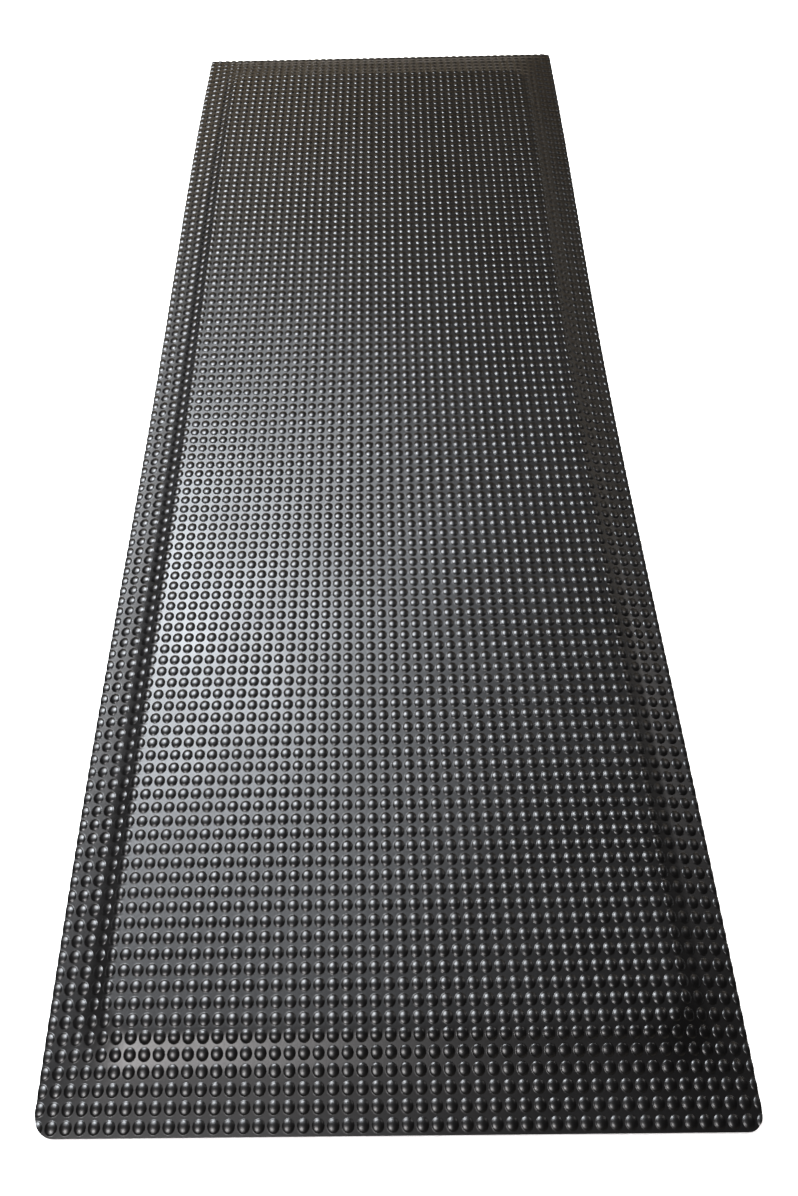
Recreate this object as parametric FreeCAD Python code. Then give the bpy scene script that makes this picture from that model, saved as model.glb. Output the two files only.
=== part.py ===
"""Anti-fatigue floor mat: a bevelled foam core between an embossed top sheet and a thin base sheet.

Millimetres. X runs across the mat, Y along it from the near end to the far end, Z is up.
The origin is on the floor under the middle of the mat.

Five layers are glued into one laminate, from the floor up: base_sheet, base_bond_film,
foam_core, top_bond_film and dome_top_sheet. The foam is thick over the middle (the plateau).
All round, a steep bevel and then a shallow one bring it down to a thin edge.
"""

import FreeCAD, Part

import math
import os

# Outline of the mat
MAT_WIDTH = 609.6
MAT_LENGTH = 1524.0
NEAR_LEFT_RADIUS = 18.0
NEAR_RIGHT_RADIUS = 14.0
FAR_RIGHT_RADIUS = 7.0
FAR_LEFT_RADIUS = 4.0

# Layer thicknesses
BASE_SHEET = 0.6
BOND_FILM = 0.1
FOAM_AT_EDGE = 0.4
FOAM_AT_BREAK = 4.5
FOAM_ON_PLATEAU = 12.7
TOP_SHEET = 1.1
DOME_HEIGHT = 1.3

# The bevel has two slopes, which meet at the break line, and it ends at the plateau. It is
# narrowest along the sides and widest at the near end. At the far end the two slopes are equal.
BREAK_INSET_SIDE = 31.0
BREAK_INSET_NEAR = 44.0
BREAK_INSET_FAR = 21.0
BREAK_CORNER_RADIUS = 38.0
PLATEAU_INSET_SIDE = 51.0
PLATEAU_INSET_NEAR = 71.0
PLATEAU_INSET_FAR = 62.0
PLATEAU_CORNER_RADIUS = 30.0

OUTLINE_RADII = (NEAR_LEFT_RADIUS, NEAR_RIGHT_RADIUS, FAR_RIGHT_RADIUS, FAR_LEFT_RADIUS)
BREAK_RADII = (BREAK_CORNER_RADIUS,) * 4
PLATEAU_RADII = (PLATEAU_CORNER_RADIUS,) * 4

BASE_TOP = BASE_SHEET
FOAM_BOTTOM = BASE_TOP + BOND_FILM


def rounded_rectangle(inset_side, inset_near, inset_far, radii, height):
    """A level closed wire, inset from the mat's outline, with one radius for each corner.

    The corners go round from near left to near right, far right and far left.
    """
    right = MAT_WIDTH / 2 - inset_side
    near = inset_near - MAT_LENGTH / 2
    far = MAT_LENGTH / 2 - inset_far
    corners = ((-right, near), (right, near), (right, far), (-right, far))
    first_angles = (math.pi, 1.5 * math.pi, 0.0, 0.5 * math.pi)
    arcs = []
    for (corner_x, corner_y), first_angle, radius in zip(corners, first_angles, radii):
        centre_x = corner_x - math.copysign(radius, corner_x)
        centre_y = corner_y - math.copysign(radius, corner_y)
        points = []
        for turn in (0.0, 0.25 * math.pi, 0.5 * math.pi):
            x = centre_x + radius * math.cos(first_angle + turn)
            y = centre_y + radius * math.sin(first_angle + turn)
            points.append(FreeCAD.Vector(x, y, height))
        arcs.append(points)
    edges = []
    for index, (start, middle, end) in enumerate(arcs):
        next_start = arcs[(index + 1) % len(arcs)][0]
        edges.append(Part.Arc(start, middle, end).toShape())
        edges.append(Part.LineSegment(end, next_start).toShape())
    return Part.Wire(edges)


def outline(height):
    return rounded_rectangle(0.0, 0.0, 0.0, OUTLINE_RADII, height)


def break_line(height):
    insets = (BREAK_INSET_SIDE, BREAK_INSET_NEAR, BREAK_INSET_FAR)
    return rounded_rectangle(*insets, BREAK_RADII, height)


def plateau_edge(height):
    insets = (PLATEAU_INSET_SIDE, PLATEAU_INSET_NEAR, PLATEAU_INSET_FAR)
    return rounded_rectangle(*insets, PLATEAU_RADII, height)


def level_layer(bottom, thickness):
    """A flat sheet with the mat's outline."""
    face = Part.Face(outline(bottom))
    return face.extrude(FreeCAD.Vector(0, 0, thickness))


def mound(bottom, above_foam):
    """The solid from the level bottom up to the foam's top surface raised by above_foam."""
    edge_height = FOAM_BOTTOM + FOAM_AT_EDGE + above_foam
    break_height = FOAM_BOTTOM + FOAM_AT_BREAK + above_foam
    plateau_height = FOAM_BOTTOM + FOAM_ON_PLATEAU + above_foam
    border = level_layer(bottom, edge_height - bottom)
    shallow = Part.makeLoft([outline(edge_height), break_line(break_height)], True, True)
    steep = Part.makeLoft([break_line(break_height), plateau_edge(plateau_height)], True, True)
    return border.fuse([shallow, steep]).removeSplitter()


def draped_layer(lower, thickness):
    """A layer that lies over the bevelled foam, from lower to lower + thickness above it."""
    return mound(FOAM_BOTTOM, lower + thickness).cut(mound(FOAM_BOTTOM, lower))


def base_sheet():
    """The thin non-slip sheet that lies on the floor."""
    return level_layer(0.0, BASE_SHEET)


def base_bond_film():
    """The adhesive film between the base sheet and the foam."""
    return level_layer(BASE_TOP, BOND_FILM)


def foam_core():
    """The soft closed-cell slab with bevelled edges."""
    return mound(FOAM_BOTTOM, 0.0)


def top_bond_film():
    """The adhesive film between the foam and the embossed sheet."""
    return draped_layer(0.0, BOND_FILM)


def dome_top_sheet():
    """The embossed wear sheet, as a plain envelope whose top follows the crests of its domes."""
    return draped_layer(BOND_FILM, TOP_SHEET + DOME_HEIGHT)


LAYERS = {
    "base_sheet": base_sheet,
    "base_bond_film": base_bond_film,
    "foam_core": foam_core,
    "top_bond_film": top_bond_film,
    "dome_top_sheet": dome_top_sheet,
}

os.makedirs("parts", exist_ok=True)
for name, make_layer in LAYERS.items():
    shape = make_layer()
    solid = shape.Solids[0]
    print(name, "solids", len(shape.Solids), "valid", solid.isValid(), "volume", round(solid.Volume))
    solid.exportStep(f"parts/{name}.step")
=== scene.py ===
"""Looks of the anti-fatigue mat: embossed vinyl top, foam core, glue films and grip base.

Metres, in the CAD model's frame: X across the mat, Y along it from the near end to the far end,
Z up, with the origin on the floor under the middle of the mat.
"""

import math

import bpy
import numpy as np
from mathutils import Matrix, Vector


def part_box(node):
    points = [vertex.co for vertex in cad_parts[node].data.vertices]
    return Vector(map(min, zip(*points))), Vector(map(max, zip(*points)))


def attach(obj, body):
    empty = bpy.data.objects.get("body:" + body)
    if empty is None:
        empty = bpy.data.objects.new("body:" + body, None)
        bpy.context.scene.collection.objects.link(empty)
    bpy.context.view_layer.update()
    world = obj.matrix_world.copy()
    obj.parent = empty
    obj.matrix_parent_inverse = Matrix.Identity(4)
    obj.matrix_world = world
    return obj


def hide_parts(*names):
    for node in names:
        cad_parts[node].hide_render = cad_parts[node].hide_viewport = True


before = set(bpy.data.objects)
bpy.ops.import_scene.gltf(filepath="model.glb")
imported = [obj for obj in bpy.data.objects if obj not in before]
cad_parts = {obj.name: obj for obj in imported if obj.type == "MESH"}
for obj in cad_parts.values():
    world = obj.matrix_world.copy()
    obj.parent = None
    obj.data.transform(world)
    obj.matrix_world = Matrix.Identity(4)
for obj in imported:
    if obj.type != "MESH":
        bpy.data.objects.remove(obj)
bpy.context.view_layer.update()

MM = 0.001

# Sizes that the CAD model gives
mat_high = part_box("dome_top_sheet")[1]
foam_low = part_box("foam_core")[0]
base_low, base_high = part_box("base_sheet")
HALF_WIDTH = mat_high[0]
HALF_LENGTH = mat_high[1]
FOAM_BOTTOM = foam_low[2]

# The bevel, as in the CAD model: level 0 is the outline, 1 the break line and 2 the plateau's edge.
# Level 3 is as far again beyond the plateau's edge, where its soft bend has ended.
LEVELS = (0, 1, 2, 3)


def level_insets(break_inset, plateau_inset):
    """How far inside the outline each level runs."""
    return (0.0, break_inset, plateau_inset, 2 * plateau_inset - break_inset)


INSET_SIDE = level_insets(31 * MM, 51 * MM)
INSET_NEAR = level_insets(44 * MM, 71 * MM)
INSET_FAR = level_insets(21 * MM, 62 * MM)
BREAK_CORNER_RADIUS = 38 * MM
PLATEAU_CORNER_RADIUS = 30 * MM
FOAM_THICKNESS = (0.4 * MM, 4.5 * MM, 12.7 * MM)
# Corner radii of the outline, by the signs of X and Y, anticlockwise from near left
OUTLINE_RADIUS = {(-1, -1): 18 * MM, (1, -1): 14 * MM, (1, 1): 7 * MM, (-1, 1): 4 * MM}

BOND_FILM = 0.1 * MM
TOP_SHEET = 1.1 * MM

# Heights over which the foam's two bends are rounded
BREAK_BEND = 3.0 * MM
PLATEAU_BEND = 1.3 * MM

# Domes, in a square grid measured along the sheet from its near left corner
DOME_PITCH = 12.44 * MM
DOME_RADIUS = 5.25 * MM
DOME_HEIGHT = 1.3 * MM
DOME_FULLNESS = 0.75
FIRST_COLUMN = 2.9 * MM
FIRST_ROW = 7.0 * MM
COLUMNS = range(0, 50)
ROWS = range(-1, 123)

# Each dome's mesh: points round it, and rings as shares of its radius, the last one on the land
DOME_SEGMENTS = 16
DOME_RINGS = (0.3, 0.56, 0.77, 0.91, 1.0, 1.07)
# The eight points on the border of a dome's square cell, in half pitches
CELL_BORDER = ((1, 0), (1, 1), (0, 1), (-1, 1), (-1, 0), (-1, -1), (0, -1), (1, -1))

# The plain layers' cells, and how far their cut edges lie behind the sheets' edges
LAYER_CELL = (8 * MM, 12 * MM)
FOAM_INSET = 0.25 * MM
FILM_INSET = 0.15 * MM

# Ribs along the underside
RIB_PITCH = 5 * MM
RIB_DEPTH = 0.3 * MM
STRIPS_PER_RIB = 6
LENGTHS_OF_RIB = 12

# How the soft mat lies on the floor: bowed to one side, narrow in its waist and not quite square
BOW = 5.9 * MM
WAIST = 2.5 * MM
WAIST_TURN = 4.1
SKEW = 4.2 * MM

# Slow unevenness of the soft mat, which fades out near its outline
WAVE_HEIGHTS = (0.22 * MM, 0.30 * MM, 0.16 * MM, 0.12 * MM)
WAVE_LENGTHS = (71 * MM, 118 * MM, 49 * MM, 37 * MM)
WINDING_LENGTHS = (230 * MM, 160 * MM)
WAVE_FADE = 60 * MM

# How finely the shapes are worked out
LEVEL_HALVINGS = 20
RULE_POINTS = 4001
SLOPE_STEP = 0.2 * MM
CORNER_STEPS = 10
WELD = 0.0001 * MM

# Places in the bake texture, as shares of its width: the top, the bottom and four strips of edge
BAKE_MARGIN = 0.02
BAKE_LENGTH = 0.96
BAKE_WIDTH = 0.38
BAKE_BOTTOM = 0.42
BAKE_STRIPS = 0.86
BAKE_STRIP_PITCH = 0.03
BAKE_STRIP_WIDTH = 0.02


# ---------------------------------------------------------------- shape of the bevelled mat


def smooth_min(a, b, width):
    """The smaller of a and b, rounded where they come within width of each other."""
    mix = np.clip(0.5 + 0.5 * (b - a) / width, 0.0, 1.0)
    return b + (a - b) * mix - width * mix * (1.0 - mix)


def bevel_level(x, y):
    """The bevel's level at each point, from 0 on the outline up to the last one on the plateau."""
    outline_radius = np.zeros_like(x)
    for (sign_x, sign_y), radius in OUTLINE_RADIUS.items():
        outline_radius[(x * sign_x >= 0) & (y * sign_y >= 0)] = radius
    low = np.zeros_like(x)
    high = np.full_like(x, LEVELS[-1])
    for _ in range(LEVEL_HALVINGS):
        level = (low + high) / 2
        outer = outline_radius + (BREAK_CORNER_RADIUS - outline_radius) * level
        inner = BREAK_CORNER_RADIUS + (PLATEAU_CORNER_RADIUS - BREAK_CORNER_RADIUS) * (level - 1)
        radius = np.where(level < 1, outer, inner)
        across = np.abs(x) - (HALF_WIDTH - np.interp(level, LEVELS, INSET_SIDE) - radius)
        inset_near = np.interp(level, LEVELS, INSET_NEAR)
        inset_far = np.interp(level, LEVELS, INSET_FAR)
        inset_end = np.where(y < 0, inset_near, inset_far)
        along = np.abs(y) - (HALF_LENGTH - inset_end - radius)
        corner = np.hypot(np.maximum(across, 0), np.maximum(along, 0))
        inside = corner + np.minimum(np.maximum(across, along), 0) <= radius
        low = np.where(inside, level, low)
        high = np.where(inside, high, level)
    return high


def foam_top(level):
    """Height of the foam's top at a bevel level, with bends at the break line and the plateau."""
    at_edge, at_break, on_plateau = (FOAM_BOTTOM + thickness for thickness in FOAM_THICKNESS)
    shallow = at_edge + (at_break - at_edge) * level
    steep = at_break + (on_plateau - at_break) * (level - 1)
    bevel = -smooth_min(-shallow, -steep, BREAK_BEND)
    return smooth_min(bevel, np.full_like(level, on_plateau), PLATEAU_BEND)


def waviness(x, y):
    """Two winding waves, across and along the mat, and two straight ones aslant."""
    across, along, aslant_one_way, aslant_other_way = WAVE_LENGTHS
    winding_across, winding_along = WINDING_LENGTHS
    waves = (
        np.sin(x / across + 0.8 + 1.3 * np.sin(y / winding_across)),
        np.sin(y / along + 1.1 * np.sin(x / winding_along + 0.4)),
        np.sin((x + 0.6 * y) / aslant_one_way + 2.1),
        np.sin((x - 0.8 * y) / aslant_other_way + 0.5),
    )
    inset = np.minimum(HALF_WIDTH - np.abs(x), HALF_LENGTH - np.abs(y))
    rise = sum(height * wave for height, wave in zip(WAVE_HEIGHTS, waves))
    return rise * np.clip(inset / WAVE_FADE, 0, 1)


def foam_surface(x, y):
    """Height of the foam's top at each point."""
    return foam_top(bevel_level(x, y)) + waviness(x, y)


def sheet_rule(half_size, first_insets, last_insets):
    """Matching distances along the sheet and places on the floor, from edge to edge of the mat."""
    places = np.linspace(-half_size, half_size, RULE_POINTS)
    from_first = np.interp(half_size + places, first_insets, LEVELS)
    from_last = np.interp(half_size - places, last_insets, LEVELS)
    height = foam_top(np.minimum(from_first, from_last))
    steps = np.hypot(np.diff(places), np.diff(height))
    travelled = np.concatenate(([0.0], np.cumsum(steps)))
    beyond = DOME_PITCH
    places = np.concatenate(([places[0] - beyond], places, [places[-1] + beyond]))
    travelled = np.concatenate(([-beyond], travelled, [travelled[-1] + beyond]))
    return travelled, places


SHEET_ACROSS, FLOOR_ACROSS = sheet_rule(HALF_WIDTH, INSET_SIDE, INSET_SIDE)
SHEET_ALONG, FLOOR_ALONG = sheet_rule(HALF_LENGTH, INSET_NEAR, INSET_FAR)


def dome_share(x, y):
    """How far each point is from the nearest dome's centre, as a share of the dome's radius."""
    across = np.interp(x, FLOOR_ACROSS, SHEET_ACROSS) - FIRST_COLUMN
    along = np.interp(y, FLOOR_ALONG, SHEET_ALONG) - FIRST_ROW
    across -= DOME_PITCH * np.round(across / DOME_PITCH)
    along -= DOME_PITCH * np.round(along / DOME_PITCH)
    return np.hypot(across, along) / DOME_RADIUS


def dome_rise(share):
    """Height of a low rounded dome over the land."""
    return DOME_HEIGHT * np.clip(1 - share**2, 0, 1) ** DOME_FULLNESS


# ---------------------------------------------------------------- flat patterns, cut to the outline


def outline_polygon():
    """The mat's outline seen from above, anticlockwise from its near left corner."""
    points = []
    for quarter, ((sign_x, sign_y), radius) in enumerate(OUTLINE_RADIUS.items()):
        for step in range(CORNER_STEPS + 1):
            angle = math.radians(180 + 90 * (quarter + step / CORNER_STEPS))
            x = sign_x * (HALF_WIDTH - radius) + radius * math.cos(angle)
            y = sign_y * (HALF_LENGTH - radius) + radius * math.sin(angle)
            points.append((x, y))
    return points


def edge_side(edge, point):
    """Positive where the point lies inside the outline's edge."""
    (ax, ay), (bx, by) = edge
    return (bx - ax) * (point[1] - ay) - (by - ay) * (point[0] - ax)


def clip(polygon, edges):
    """What is left of a convex polygon inside all the edges."""
    for edge in edges:
        sides = [edge_side(edge, point) for point in polygon]
        kept = []
        for i, point in enumerate(polygon):
            before, side = sides[i - 1], sides[i]
            if before * side < 0:
                share = before / (before - side)
                previous = polygon[i - 1]
                kept.append(tuple(p + share * (q - p) for p, q in zip(previous, point)))
            if side >= 0:
                kept.append(point)
        polygon = kept
        if len(polygon) < 3:
            return []
    return polygon


def clip_all(polygons, edges):
    """What is left of each polygon inside all the edges."""
    pieces = (clip(polygon, edges) for polygon in polygons)
    return [piece for piece in pieces if piece]


OUTLINE = outline_polygon()
OUTLINE_EDGES = list(zip(OUTLINE, OUTLINE[1:] + OUTLINE[:1]))


def crossed_edges(low_x, low_y, high_x, high_y):
    """The outline's edges that a box reaches over."""
    corners = ((low_x, low_y), (high_x, low_y), (high_x, high_y), (low_x, high_y))
    return [e for e in OUTLINE_EDGES if min(edge_side(e, corner) for corner in corners) < 0]


def dome_cell():
    """One square cell of the sheet: points about the dome's centre, faces and border points."""
    points = [(0.0, 0.0)]
    for ring in DOME_RINGS:
        radius = ring * DOME_RADIUS
        for step in range(DOME_SEGMENTS):
            angle = 2 * math.pi * step / DOME_SEGMENTS
            points.append((radius * math.cos(angle), radius * math.sin(angle)))
    half = DOME_PITCH / 2
    border = len(points)
    points += [(x * half, y * half) for x, y in CELL_BORDER]
    faces = []
    for step in range(DOME_SEGMENTS):
        after = (step + 1) % DOME_SEGMENTS
        faces.append((0, 1 + step, 1 + after))
        for ring in range(len(DOME_RINGS) - 1):
            inner = 1 + ring * DOME_SEGMENTS
            outer = inner + DOME_SEGMENTS
            faces.append((inner + step, outer + step, outer + after, inner + after))
    foot = 1 + (len(DOME_RINGS) - 1) * DOME_SEGMENTS
    for side in range(len(CELL_BORDER)):
        here, there = border + side, border + (side + 1) % len(CELL_BORDER)
        first, middle, last = (foot + (2 * side + k) % DOME_SEGMENTS for k in range(3))
        faces += [(first, here, middle), (middle, here, there), (middle, there, last)]
    return np.array(points), faces, list(range(border, len(points)))


# ---------------------------------------------------------------- meshes


class Patches:
    """Polygons seen from above that share the points where they meet."""

    def __init__(self):
        self.points = []
        self.sizes = []

    def add(self, polygons):
        for polygon in polygons:
            self.points.extend(polygon)
            self.sizes.append(len(polygon))

    def add_many(self, corners):
        """Adds an array of polygons that have equally many corners."""
        self.points.extend(map(tuple, corners.reshape(-1, 2)))
        self.sizes.extend([corners.shape[1]] * len(corners))


def pair_keys(pairs):
    """One whole number for each pair of them."""
    return pairs[:, 0] * 2**32 + pairs[:, 1]


def first_corners(sizes):
    """Where each polygon's corners start in the list of all corners."""
    return np.concatenate(([0], np.cumsum(sizes)[:-1]))


def weld(points):
    """The distinct points, and for each point its place among them."""
    keys = pair_keys(np.round(points / WELD).astype(np.int64))
    _, first, places = np.unique(keys, return_index=True, return_inverse=True)
    return points[first], places.ravel()


def without_repeats(loops, sizes):
    """The polygons without the corners that repeat the one before, and without those left flat."""
    starts = first_corners(sizes)
    before = np.arange(len(loops)) - 1
    before[starts] = starts + sizes - 1
    owner = np.repeat(np.arange(len(sizes)), sizes)
    kept = loops != loops[before]
    sizes = np.bincount(owner[kept], minlength=len(sizes))
    kept &= sizes[owner] > 2
    return loops[kept], sizes[sizes > 2]


def rim_edges(loops, sizes):
    """The directed edges that only one polygon has, as pairs of point numbers."""
    starts = first_corners(sizes)
    following = np.arange(len(loops)) + 1
    following[starts + sizes - 1] = starts
    pairs = np.stack([loops, loops[following]], 1)
    return pairs[~np.isin(pair_keys(pairs), pair_keys(pairs[:, ::-1]))]


def new_piece(name, points, loops, sizes, material):
    """A mesh object from arrays, smooth shaded, riding on the mat."""
    mesh = bpy.data.meshes.new(name)
    mesh.vertices.add(len(points))
    mesh.vertices.foreach_set("co", points.astype(np.float32).ravel())
    mesh.loops.add(len(loops))
    mesh.loops.foreach_set("vertex_index", loops.astype(np.int32))
    mesh.polygons.add(len(sizes))
    mesh.polygons.foreach_set("loop_start", first_corners(sizes).astype(np.int32))
    mesh.polygons.foreach_set("use_smooth", np.ones(len(sizes), bool))
    mesh.update(calc_edges=True)
    piece = bpy.data.objects.new(name, mesh)
    bpy.context.scene.collection.objects.link(piece)
    mesh.materials.append(material)
    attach(piece, "root")
    return piece


def mesh_points(mesh):
    """The places of a mesh's points, one row for each."""
    points = np.empty(3 * len(mesh.vertices), np.float32)
    mesh.vertices.foreach_get("co", points)
    return points.reshape(-1, 3)


def solid_sheet(name, top, bottom, top_place, bottom_place, material):
    """A closed sheet: top polygons over bottom polygons with the same rim, joined by a wall.

    top_place and bottom_place turn points seen from above into points in space.
    """
    flat, places = weld(np.array(top.points + bottom.points))
    top_loops, top_sizes = without_repeats(places[: len(top.points)], np.array(top.sizes))
    bottom_loops, bottom_sizes = without_repeats(places[len(top.points):], np.array(bottom.sizes))
    rim = rim_edges(top_loops, top_sizes)
    count = len(flat)
    wall = np.stack([rim[:, 1], rim[:, 0], rim[:, 0] + count, rim[:, 1] + count], 1)
    under = bottom_loops[::-1] + count
    loops = np.concatenate([top_loops, wall.ravel(), under])
    sizes = np.concatenate([top_sizes, np.full(len(wall), 4), bottom_sizes[::-1]])
    used, loops = np.unique(loops, return_inverse=True)
    points = np.concatenate([top_place(flat), bottom_place(flat)])[used]
    piece = new_piece(name, points, loops.ravel(), sizes, material)
    mark_sharp(piece, np.searchsorted(used, wall))
    bake_layout(piece, len(top_sizes), len(wall))
    return piece


def mark_sharp(piece, wall):
    """Keeps the cut edge crisp where the wall's quadrangles meet the top and the bottom."""
    mesh = piece.data
    ends = np.empty(2 * len(mesh.edges), np.int32)
    mesh.edges.foreach_get("vertices", ends)
    ends = np.sort(ends.reshape(-1, 2), axis=1).astype(np.int64)
    rims = np.sort(np.concatenate([wall[:, :2], wall[:, 2:]]), axis=1)
    attribute = mesh.attributes.new("sharp_edge", "BOOLEAN", "EDGE")
    attribute.data.foreach_set("value", np.isin(pair_keys(ends), pair_keys(rims)))


def bake_layout(piece, tops, walls):
    """Lays the top, the bottom and the wall side by side in the texture, with no overlap."""
    mesh = piece.data
    corners = np.empty(len(mesh.loops), np.int32)
    mesh.loops.foreach_get("vertex_index", corners)
    starts = np.empty(len(mesh.polygons), np.int32)
    mesh.polygons.foreach_get("loop_start", starts)
    x, y, z = mesh_points(mesh)[corners].T
    share_x = (x / HALF_WIDTH + 1) / 2
    share_y = (y / HALF_LENGTH + 1) / 2
    number = np.arange(len(corners))
    first_wall = starts[tops]
    first_bottom = starts[tops + walls]
    under = number >= first_bottom
    on_wall = (number >= first_wall) & ~under
    on_end = np.abs(np.abs(y) - HALF_LENGTH) < np.abs(np.abs(x) - HALF_WIDTH)
    strip = 2 * on_end + (x + y > 0)
    up_strip = BAKE_STRIPS + BAKE_STRIP_PITCH * strip + BAKE_STRIP_WIDTH * z / mat_high[2]
    across = BAKE_MARGIN + BAKE_WIDTH * share_x + BAKE_BOTTOM * under
    across = np.where(on_wall, up_strip, across)
    along = BAKE_MARGIN + BAKE_LENGTH * np.where(on_wall & on_end, share_x, share_y)
    layer = mesh.uv_layers.new(name="OFBake")
    layer.data.foreach_set("uv", np.stack([across, along], 1).astype(np.float32).ravel())


def dome_patches():
    """The sheet's cells: their detailed tops, and bottoms that are plain but for the cut cells."""
    points, faces, border = dome_cell()
    columns = np.array([FIRST_COLUMN + DOME_PITCH * number for number in COLUMNS])
    rows = np.array([FIRST_ROW + DOME_PITCH * number for number in ROWS])
    xs = np.interp(columns[:, None] + points[None, :, 0], SHEET_ACROSS, FLOOR_ACROSS)
    ys = np.interp(rows[:, None] + points[None, :, 1], SHEET_ALONG, FLOOR_ALONG)
    top, bottom = Patches(), Patches()
    whole = []
    for column, x in enumerate(xs):
        for row, y in enumerate(ys):
            edges = crossed_edges(x.min(), y.min(), x.max(), y.max())
            if not edges:
                whole.append((column, row))
                continue
            place = list(zip(x.tolist(), y.tolist()))
            pieces = clip_all([[place[n] for n in face] for face in faces], edges)
            top.add(pieces)
            bottom.add(pieces)
    column, row = np.array(whole).T
    for size in sorted({len(face) for face in faces}):
        group = np.array([face for face in faces if len(face) == size])
        corners = np.stack([xs[column][:, group], ys[row][:, group]], -1)
        top.add_many(corners.reshape(-1, size, 2))
    bottom.add_many(np.stack([xs[column][:, border], ys[row][:, border]], -1))
    return top, bottom


def dome_sheet(material):
    """The embossed top sheet, draped over the foam and cut through its outer domes."""

    def upper_side(flat):
        x, y = flat.T
        step = SLOPE_STEP
        land = foam_surface(x, y) + BOND_FILM + TOP_SHEET
        slope_x = (foam_surface(x + step, y) - foam_surface(x - step, y)) / (2 * step)
        slope_y = (foam_surface(x, y + step) - foam_surface(x, y - step)) / (2 * step)
        outwards = np.stack([-slope_x, -slope_y, np.ones_like(x)], 1)
        outwards /= np.linalg.norm(outwards, axis=1, keepdims=True)
        rise = dome_rise(dome_share(x, y))
        return np.stack([x, y, land], 1) + outwards * rise[:, None]

    def lower_side(flat):
        return np.column_stack([flat, top_film_surface(*flat.T)])

    top, bottom = dome_patches()
    piece = solid_sheet("embossed_top", top, bottom, upper_side, lower_side, material)
    mark_domes(piece)
    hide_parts("dome_top_sheet")
    return piece


def mark_domes(piece):
    """Stores how far each point is from its dome's centre, for the gloss of the material."""
    mesh = piece.data
    x, y, _ = mesh_points(mesh).T.astype(float)
    attribute = mesh.attributes.new("dome_share", "FLOAT", "POINT")
    attribute.data.foreach_set("value", dome_share(x, y).astype(np.float32))


def grid_patches(step_x, step_y):
    """Rectangles over the mat's outline, cut to it."""
    patches = Patches()
    across = np.linspace(-HALF_WIDTH, HALF_WIDTH, round(2 * HALF_WIDTH / step_x) + 1)
    along = np.linspace(-HALF_LENGTH, HALF_LENGTH, round(2 * HALF_LENGTH / step_y) + 1)
    for low_x, high_x in zip(across[:-1], across[1:]):
        for low_y, high_y in zip(along[:-1], along[1:]):
            cell = [(low_x, low_y), (high_x, low_y), (high_x, high_y), (low_x, high_y)]
            patches.add(clip_all([cell], crossed_edges(low_x, low_y, high_x, high_y)))
    return patches


def inner_layer(name, node, slot, material, inset, low, high):
    """A plain layer between two surfaces, with its cut edge inset from the sheets' edges."""
    shrink = np.array([1 - inset / HALF_WIDTH, 1 - inset / HALF_LENGTH])

    def onto(surface):
        return lambda flat: np.column_stack([flat * shrink, surface(*flat.T)])

    cells = grid_patches(*LAYER_CELL)
    piece = solid_sheet(name, cells, cells, onto(high), onto(low), material)
    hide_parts(node)
    return piece


def base_top(x, y):
    """Height of the base sheet's upper side."""
    return np.full_like(x, base_high[2])


def foam_bottom(x, y):
    """Height of the foam's underside."""
    return np.full_like(x, FOAM_BOTTOM)


def top_film_surface(x, y):
    """Height of the upper side of the film over the foam."""
    return foam_surface(x, y) + BOND_FILM


def foam_slab(material):
    """The foam core."""
    look = ("foam", material, FOAM_INSET)
    piece = inner_layer("foam_slab", "foam_core", *look, foam_bottom, foam_surface)
    return piece


def glue_films(material):
    """The two films of adhesive, below and above the foam."""
    look = ("bond_film", material, FILM_INSET)
    under = inner_layer("base_glue_film", "base_bond_film", *look, base_top, foam_bottom)
    over = inner_layer("top_glue_film", "top_bond_film", *look, foam_surface, top_film_surface)
    return [under, over]


def grip_base(material):
    """The base sheet, with fine ribs along its underside."""

    def upper_side(flat):
        return np.column_stack([flat, base_top(*flat.T)])

    def lower_side(flat):
        groove = (0.5 + 0.5 * np.cos(2 * math.pi * flat[:, 0] / RIB_PITCH)) ** 2
        return np.column_stack([flat, base_low[2] + RIB_DEPTH * groove])

    strips = grid_patches(RIB_PITCH / STRIPS_PER_RIB, 2 * HALF_LENGTH / LENGTHS_OF_RIB)
    piece = solid_sheet("grip_base", strips, strips, upper_side, lower_side, material)
    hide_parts("base_sheet")
    return piece


def settle(piece):
    """Moves a piece's points sideways to where they lie in the slightly bowed mat."""
    mesh = piece.data
    points = mesh_points(mesh)
    across = points[:, 0] / HALF_WIDTH
    along = points[:, 1] / HALF_LENGTH
    points[:, 0] += BOW * (along**2 - 0.5) - WAIST * np.cos(WAIST_TURN * along) * across
    points[:, 1] += SKEW * across * along
    mesh.vertices.foreach_set("co", points.ravel())
    mesh.update()


# ---------------------------------------------------------------- materials


VINYL_DEEP, VINYL_PALER = (0.0038, 0.0034, 0.0034), (0.0060, 0.0056, 0.0057)
VINYL_SPECK = (0.045, 0.043, 0.042)
VINYL_SPECKED = 0.20
VINYL_GLOSSY, VINYL_DULLER = 0.315, 0.355
LAND_DULLER_BY = 0.04
# The foam's pit colour is darker than its cell walls: painted shade in the pits
FOAM_PIT_SHADE, FOAM_WALL = (0.020, 0.020, 0.021), (0.075, 0.075, 0.078)
GRIP_DEEP, GRIP_SCUFFED = (0.022, 0.021, 0.021), (0.048, 0.046, 0.045)
GLUE_DEEP, GLUE_PALER = (0.030, 0.027, 0.022), (0.060, 0.054, 0.045)
FLOOR_DULL, FLOOR_BRIGHT = (0.90, 0.90, 0.90), (0.93, 0.93, 0.93)


def new_material(name):
    """A material, its nodes, a function that links two sockets, and its shader."""
    material = bpy.data.materials.new(name)
    material.use_nodes = True
    nodes = material.node_tree.nodes
    shader = nodes["Principled BSDF"]
    return material, nodes, material.node_tree.links.new, shader


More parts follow.
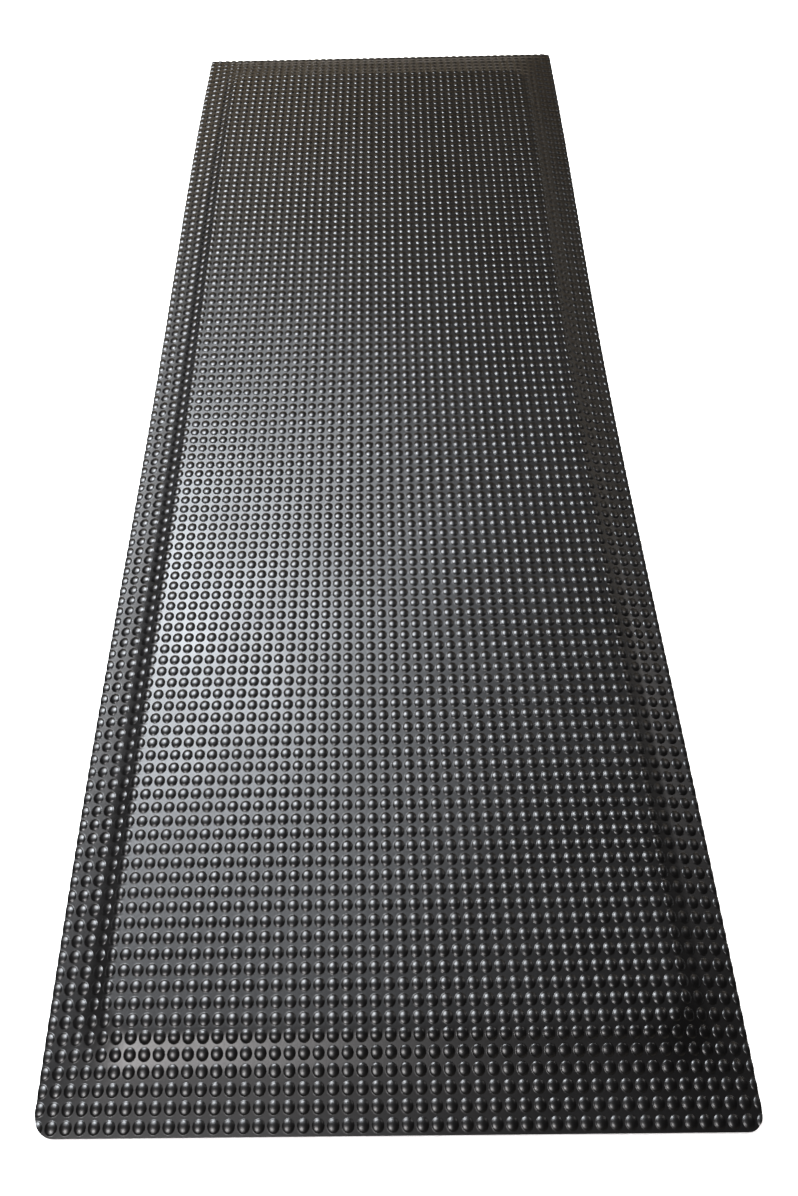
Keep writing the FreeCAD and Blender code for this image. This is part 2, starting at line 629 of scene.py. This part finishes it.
def noise(nodes, link, where, scale, detail=3.0, roughness=0.55):
    """Cloudy values from 0 to 1, mostly between 0.3 and 0.7."""
    texture = nodes.new("ShaderNodeTexNoise")
    texture.inputs["Scale"].default_value = scale
    texture.inputs["Detail"].default_value = detail
    texture.inputs["Roughness"].default_value = roughness
    link(where, texture.inputs["Vector"])
    return texture.outputs["Fac"]


def remap(nodes, link, value, source, target):
    """Takes a value from the source range to the target range, and keeps it within that."""
    node = nodes.new("ShaderNodeMapRange")
    node.inputs["From Min"].default_value, node.inputs["From Max"].default_value = source
    node.inputs["To Min"].default_value, node.inputs["To Max"].default_value = target
    link(value, node.inputs["Value"])
    return node.outputs["Result"]


def mix_colour(nodes, link, share, first, second):
    """From the first colour to the second by a share; each is a colour or a socket."""
    node = nodes.new("ShaderNodeMix")
    node.data_type = "RGBA"
    link(share, node.inputs["Factor"])
    for socket, colour in (("A", first), ("B", second)):
        target = next(s for s in node.inputs if s.name == socket and s.type == "RGBA")
        if isinstance(colour, tuple):
            target.default_value = (*colour, 1.0)
        else:
            link(colour, target)
    return next(s for s in node.outputs if s.type == "RGBA")


def add_bump(nodes, link, height, strength, distance, before=None):
    """A normal that follows a height, over an earlier bump where there is one."""
    node = nodes.new("ShaderNodeBump")
    node.inputs["Strength"].default_value = strength
    node.inputs["Distance"].default_value = distance
    link(height, node.inputs["Height"])
    if before is not None:
        link(before, node.inputs["Normal"])
    return node.outputs["Normal"]


def add_values(nodes, link, first, second):
    """The sum of two values."""
    node = nodes.new("ShaderNodeMath")
    node.operation = "ADD"
    link(first, node.inputs[0])
    link(second, node.inputs[1])
    return node.outputs["Value"]


def vinyl_material():
    """Semi-gloss black vinyl: finely grained, and a little glossier on its domes than its land."""
    material, nodes, link, shader = new_material("embossed_black_vinyl")
    where = nodes.new("ShaderNodeTexCoord").outputs["Object"]
    dome = nodes.new("ShaderNodeAttribute")
    dome.attribute_name = "dome_share"
    share = dome.outputs["Fac"]

    blotches = noise(nodes, link, where, scale=14.0, detail=4.0)
    speckle = noise(nodes, link, where, scale=700.0, detail=2.0)
    grain = noise(nodes, link, where, scale=1500.0, detail=2.5, roughness=0.65)

    body = mix_colour(nodes, link, blotches, VINYL_DEEP, VINYL_PALER)
    specks = remap(nodes, link, speckle, (0.62, 0.80), (0.0, VINYL_SPECKED))
    link(mix_colour(nodes, link, specks, body, VINYL_SPECK), shader.inputs["Base Color"])

    smear = remap(nodes, link, blotches, (0.3, 0.7), (VINYL_GLOSSY, VINYL_DULLER))
    land = remap(nodes, link, share, (1.0, 1.1), (0.0, LAND_DULLER_BY))
    link(add_values(nodes, link, smear, land), shader.inputs["Roughness"])
    shader.inputs["Specular IOR Level"].default_value = 0.5

    coarse = add_bump(nodes, link, speckle, strength=0.30, distance=0.05 * MM)
    fine = add_bump(nodes, link, grain, strength=0.35, distance=0.04 * MM, before=coarse)
    link(fine, shader.inputs["Normal"])
    return material


def foam_material():
    """Matte closed-cell foam with small open cells on its cut edge, and painted shade darkening the
    cells' pits.
    """
    material, nodes, link, shader = new_material("closed_cell_foam")
    where = nodes.new("ShaderNodeTexCoord").outputs["Object"]
    cells = nodes.new("ShaderNodeTexVoronoi")
    cells.inputs["Scale"].default_value = 1400.0
    link(where, cells.inputs["Vector"])
    depth = cells.outputs["Distance"]
    # Painted shade: darker at the bottom of each pit, where the bump is lowest
    shade = remap(nodes, link, depth, (0.0, 0.6), (0.0, 1.0))
    link(mix_colour(nodes, link, shade, FOAM_PIT_SHADE, FOAM_WALL), shader.inputs["Base Color"])
    shader.inputs["Roughness"].default_value = 0.9
    pits = add_bump(nodes, link, depth, strength=0.6, distance=0.2 * MM)
    link(pits, shader.inputs["Normal"])
    return material


def base_material():
    """Matte black vinyl of the underside, a little scuffed."""
    material, nodes, link, shader = new_material("grip_vinyl")
    where = nodes.new("ShaderNodeTexCoord").outputs["Object"]
    scuffs = noise(nodes, link, where, scale=24.0, detail=5.0)
    grain = noise(nodes, link, where, scale=1200.0)
    link(mix_colour(nodes, link, scuffs, GRIP_DEEP, GRIP_SCUFFED), shader.inputs["Base Color"])
    link(remap(nodes, link, scuffs, (0.3, 0.7), (0.55, 0.75)), shader.inputs["Roughness"])
    grained = add_bump(nodes, link, grain, strength=0.5, distance=0.08 * MM)
    link(grained, shader.inputs["Normal"])
    return material


def bond_material():
    """Dried adhesive: dull amber grey, slightly uneven."""
    material, nodes, link, shader = new_material("laminating_adhesive")
    where = nodes.new("ShaderNodeTexCoord").outputs["Object"]
    streaks = noise(nodes, link, where, scale=60.0, detail=4.0)
    link(mix_colour(nodes, link, streaks, GLUE_DEEP, GLUE_PALER), shader.inputs["Base Color"])
    link(remap(nodes, link, streaks, (0.3, 0.7), (0.45, 0.65)), shader.inputs["Roughness"])
    uneven = add_bump(nodes, link, streaks, strength=0.4, distance=0.05 * MM)
    link(uneven, shader.inputs["Normal"])
    return material


def floor_material():
    """A matte, nearly white studio floor."""
    material, nodes, link, shader = new_material("pale_floor")
    where = nodes.new("ShaderNodeTexCoord").outputs["Object"]
    tone = noise(nodes, link, where, scale=3.0)
    link(mix_colour(nodes, link, tone, FLOOR_DULL, FLOOR_BRIGHT), shader.inputs["Base Color"])
    shader.inputs["Roughness"].default_value = 0.8
    shader.inputs["Specular IOR Level"].default_value = 0.2
    return material


# ---------------------------------------------------------------- stage


FLOOR_SIZE = 5.4
ROOM_LIGHT = 0.02
CEILING = 2.4

# Colours of the lamps
COOL, PLAIN = (0.92, 0.955, 1.0), (1.0, 0.98, 0.985)
PALE, WARM = (1.0, 0.89, 0.74), (1.0, 0.80, 0.53)

CAMERA_PLACE = (0.0041, -0.7872, 1.0755)
CAMERA_ANGLES = (40.35, 0.095, -1.235)
SENSOR_WIDTH = 36.0
FOCAL_LENGTH = 30.13
SHIFT_UP = -0.2283
PICTURE_GAMMA = 0.72


def add_floor():
    """A square of floor under the mat."""
    half = FLOOR_SIZE / 2
    corners = [(-half, -half, 0), (half, -half, 0), (half, half, 0), (-half, half, 0)]
    mesh = bpy.data.meshes.new("floor")
    mesh.from_pydata(corners, [], [(0, 1, 2, 3)])
    mesh.materials.append(floor_material())
    floor = bpy.data.objects.new("floor", mesh)
    bpy.context.scene.collection.objects.link(floor)


def add_area_light(name, place, facing, size, radiance, colour):
    """A rectangular lamp; radiance is how bright its face looks."""
    lamp = bpy.data.lights.new(name, "AREA")
    lamp.shape = "RECTANGLE"
    lamp.size, lamp.size_y = size
    lamp.energy = radiance * math.pi * size[0] * size[1]
    lamp.color = colour
    holder = bpy.data.objects.new(name, lamp)
    holder.location = place
    holder.rotation_euler = Vector(facing).to_track_quat("-Z", "Y").to_euler()
    bpy.context.scene.collection.objects.link(holder)


def add_lights():
    """Three ceiling panels on the left, a small one on the right, and four softly lit walls."""
    down, towards_near, towards_far = (0, 0, -1), (0, -1, 0), (-0.4, 1, 0)
    towards_left = (-0.7, -0.6, -0.35)
    add_area_light("ceiling_left", (-0.78, 0.82, CEILING), down, (1.05, 1.45), 43.0, COOL)
    add_area_light("ceiling_far_left", (-1.8, 1.1, CEILING), down, (0.8, 1.9), 11.0, PLAIN)
    add_area_light("ceiling_behind", (-0.9, -2.0, CEILING), down, (0.9, 0.8), 46.0, PLAIN)
    add_area_light("ceiling_right", (2.2, 0.65, CEILING), down, (0.35, 0.35), 75.0, PLAIN)
    add_area_light("far_wall", (0.0, 3.4, 0.9), towards_near, (4.0, 1.4), 1.15, WARM)
    add_area_light("far_left_wall", (-1.2, 3.4, 2.0), towards_near, (2.0, 0.8), 3.4, WARM)
    add_area_light("right_wall", (2.0, 1.6, 1.5), towards_left, (1.8, 1.6), 1.9, PALE)
    add_area_light("near_wall", (1.5, -3.5, 0.9), towards_far, (3.5, 1.5), 0.9, PALE)


def add_room():
    """White where the camera sees past the floor, and otherwise a faint light from all round."""
    world = bpy.data.worlds.new("room")
    world.use_nodes = True
    nodes, link = world.node_tree.nodes, world.node_tree.links.new
    seen = nodes.new("ShaderNodeLightPath").outputs["Is Camera Ray"]
    background = nodes["Background"]
    background.inputs["Color"].default_value = (1.0, 1.0, 1.0, 1.0)
    strength = remap(nodes, link, seen, (0.0, 1.0), (ROOM_LIGHT, 1.0))
    link(strength, background.inputs["Strength"])
    bpy.context.scene.world = world


def add_camera():
    """Held above the near end and tipped along the mat, with the frame shifted to take it in."""
    camera = bpy.data.cameras.new("camera")
    camera.sensor_width = SENSOR_WIDTH
    camera.lens = FOCAL_LENGTH
    camera.shift_y = SHIFT_UP
    holder = bpy.data.objects.new("camera", camera)
    holder.location = CAMERA_PLACE
    holder.rotation_euler = tuple(math.radians(angle) for angle in CAMERA_ANGLES)
    bpy.context.scene.collection.objects.link(holder)
    bpy.context.scene.camera = holder


def main():
    """Builds the mat and the stage."""
    pieces = [dome_sheet(vinyl_material()), foam_slab(foam_material()), grip_base(base_material())]
    pieces += glue_films(bond_material())
    for piece in pieces:
        settle(piece)
    add_floor()
    add_lights()
    add_room()
    add_camera()
    scene = bpy.context.scene
    scene.view_settings.view_transform = "Standard"
    scene.view_settings.gamma = PICTURE_GAMMA


main()
